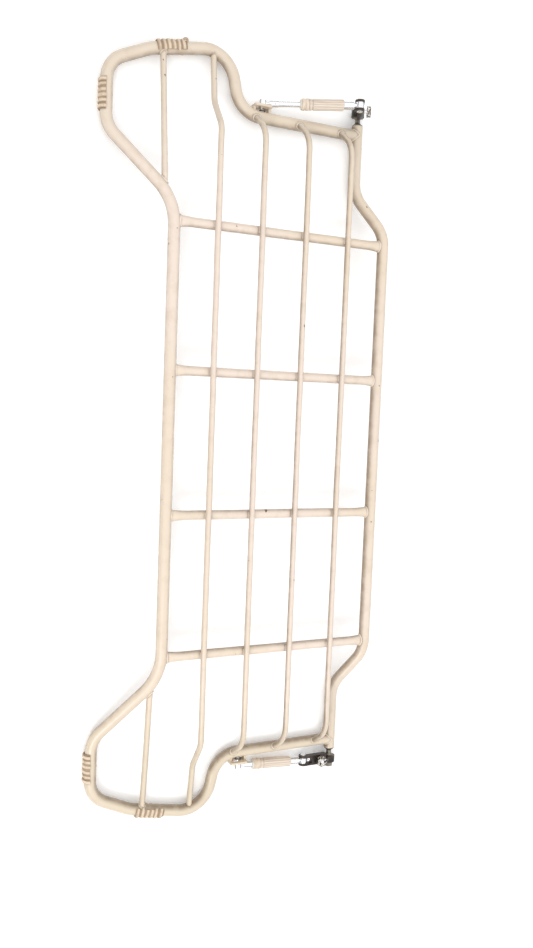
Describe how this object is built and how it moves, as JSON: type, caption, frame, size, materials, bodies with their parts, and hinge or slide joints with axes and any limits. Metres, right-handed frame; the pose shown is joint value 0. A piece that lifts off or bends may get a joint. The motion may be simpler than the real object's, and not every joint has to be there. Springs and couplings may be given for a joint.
{
  "type": "folding luggage rack",
  "caption": "Welded round-tube luggage rack with slat wires, two padded wings, and a fold-out clamp bracket on a telescopic stay at each end.",
  "frame": {"origin": "centre of the bounding box in plan, at its lowest level", "axes": "+X along the rack, +Z the side that carries the luggage, hinge side at +Y and padded wings at -Y"},
  "size_m": [1.2472, 0.4966, 0.0676],
  "materials": {
    "cream_paint": "cream enamel, slightly yellowed and worn",
    "pad_rubber": "ribbed greyish brown rubber, dusty",
    "clamp_rubber": "matte black rubber",
    "grip_plastic": "cream plastic, satin",
    "collar_plastic": "cream plastic, satin",
    "bush_brass": "turned",
    "bush_plastic": "white plastic",
    "bracket_enamel": "dark brown, worn and oily",
    "dark_steel": "dull, oxidised",
    "chrome": "bright chrome"
  },
  "bodies": {
    "frame": {"crossbar_1": "cream_paint", "crossbar_2": "cream_paint", "crossbar_3": "cream_paint", "crossbar_4": "cream_paint", "end_pad_left": "pad_rubber", "end_pad_right": "pad_rubber", "hinge_nut_left": "dark_steel", "hinge_nut_right": "dark_steel", "hinge_spigot_left": "dark_steel", "hinge_spigot_right": "dark_steel", "hinge_tube": "cream_paint", "hinge_washer_left": "dark_steel", "hinge_washer_right": "dark_steel", "side_pad_left": "pad_rubber", "side_pad_right": "pad_rubber", "slat_wire_1": "cream_paint", "slat_wire_2": "cream_paint", "slat_wire_3": "cream_paint", "slat_wire_4": "cream_paint", "stay_lug_left": "cream_paint", "stay_lug_right": "cream_paint", "wing_tube": "cream_paint", "wing_wire_left": "cream_paint", "wing_wire_right": "cream_paint"},
    "bracket_left": {"bracket_left": "bracket_enamel", "clevis_pin_left": "chrome", "hinge_bush_left": "bush_brass", "jaw_plate_left": "chrome"},
    "stay_left": {"grip_sleeve_left": "grip_plastic", "guide_bush_left": "bush_plastic", "stay_eye_left": "chrome", "stay_tube_left": "chrome"},
    "lock_collar_left": {"lock_collar_left": "collar_plastic"},
    "rod_left": {"foot_pin_left": "chrome", "foot_ring_left": "dark_steel", "rod_end_left": "chrome", "stay_rod_left": "chrome"},
    "clamp_pad_left": {"clamp_pad_left": "clamp_rubber"},
    "clamp_screw_left": {"clamp_knob_left": "chrome", "clamp_screw_left": "chrome"},
    "bracket_right": {"bracket_right": "bracket_enamel", "clevis_pin_right": "chrome", "hinge_bush_right": "bush_brass", "jaw_plate_right": "chrome"},
    "stay_right": {"grip_sleeve_right": "grip_plastic", "guide_bush_right": "bush_plastic", "stay_eye_right": "chrome", "stay_tube_right": "chrome"},
    "lock_collar_right": {"lock_collar_right": "collar_plastic"},
    "rod_right": {"foot_pin_right": "chrome", "foot_ring_right": "dark_steel", "rod_end_right": "chrome", "stay_rod_right": "chrome"},
    "clamp_pad_right": {"clamp_pad_right": "clamp_rubber"},
    "clamp_screw_right": {"clamp_knob_right": "chrome", "clamp_screw_right": "chrome"}
  },
  "joints": [
    {"name": "fold_left", "type": "hinge", "parent": "frame", "child": "bracket_left", "pos_m": [-0.5595, 0.1983, 0.0136], "axis": [-1, 0, 0], "range_deg": [-63, 0]},
    {"name": "stay_swing_left", "type": "hinge", "parent": "bracket_left", "child": "stay_left", "pos_m": [-0.5595, 0.17487, 0.05958], "axis": [-1, 0, 0], "range_deg": [-0.01, 79.38]},
    {"name": "stay_slide_left", "type": "slide", "parent": "stay_left", "child": "rod_left", "axis": [0.061, -0.9507, -0.3042], "range_m": [-0.03587, 0.00002]},
    {"name": "collar_twist_left", "type": "hinge", "parent": "stay_left", "child": "lock_collar_left", "pos_m": [-0.55431, 0.09407, 0.03372], "axis": [0.061, -0.9507, -0.3042], "range_deg": [0, 60]},
    {"name": "clamp_slide_left", "type": "slide", "parent": "bracket_left", "child": "clamp_pad_left", "axis": [0, -0.891, -0.454], "range_m": [0, 0.00501]},
    {"name": "clamp_turn_left", "type": "hinge", "parent": "clamp_pad_left", "child": "clamp_screw_left", "pos_m": [-0.5595, 0.18786, 0.03409], "axis": [0, -0.891, -0.454], "range_deg": [0, 1800]},
    {"name": "fold_right", "type": "hinge", "parent": "frame", "child": "bracket_right", "pos_m": [0.5595, 0.1983, 0.0136], "axis": [-1, 0, 0], "range_deg": [0, 63]},
    {"name": "stay_swing_right", "type": "hinge", "parent": "bracket_right", "child": "stay_right", "pos_m": [0.5595, 0.1467, 0.0136], "axis": [-1, 0, 0], "range_deg": [-79.38, 0.01]},
    {"name": "stay_slide_right", "type": "slide", "parent": "stay_right", "child": "rod_right", "axis": [-0.061, -0.9978, -0.024], "range_m": [-0.00002, 0.03587]},
    {"name": "collar_twist_right", "type": "hinge", "parent": "stay_right", "child": "lock_collar_right", "pos_m": [0.55431, 0.06188, 0.01156], "axis": [-0.061, -0.9978, -0.024], "range_deg": [0, 60]},
    {"name": "clamp_slide_right", "type": "slide", "parent": "bracket_right", "child": "clamp_pad_right", "axis": [0, 0, -1], "range_m": [0, 0.00501]},
    {"name": "clamp_turn_right", "type": "hinge", "parent": "clamp_pad_right", "child": "clamp_screw_right", "pos_m": [0.5595, 0.1753, 0.0136], "axis": [0, 0, -1], "range_deg": [0, 1800]}
  ],
  "couplings": [
    {"joint": "stay_swing_left", "follows": "fold_left", "ratio": -1.2598},
    {"joint": "stay_slide_left", "follows": "fold_left", "m_per_rad": 0.032603},
    {"joint": "clamp_slide_left", "follows": "clamp_turn_left", "m_per_rad": 0.00015915},
    {"joint": "stay_swing_right", "follows": "fold_right", "ratio": -1.2598},
    {"joint": "stay_slide_right", "follows": "fold_right", "m_per_rad": 0.032603},
    {"joint": "clamp_slide_right", "follows": "clamp_turn_right", "m_per_rad": 0.00015915}
  ]
}
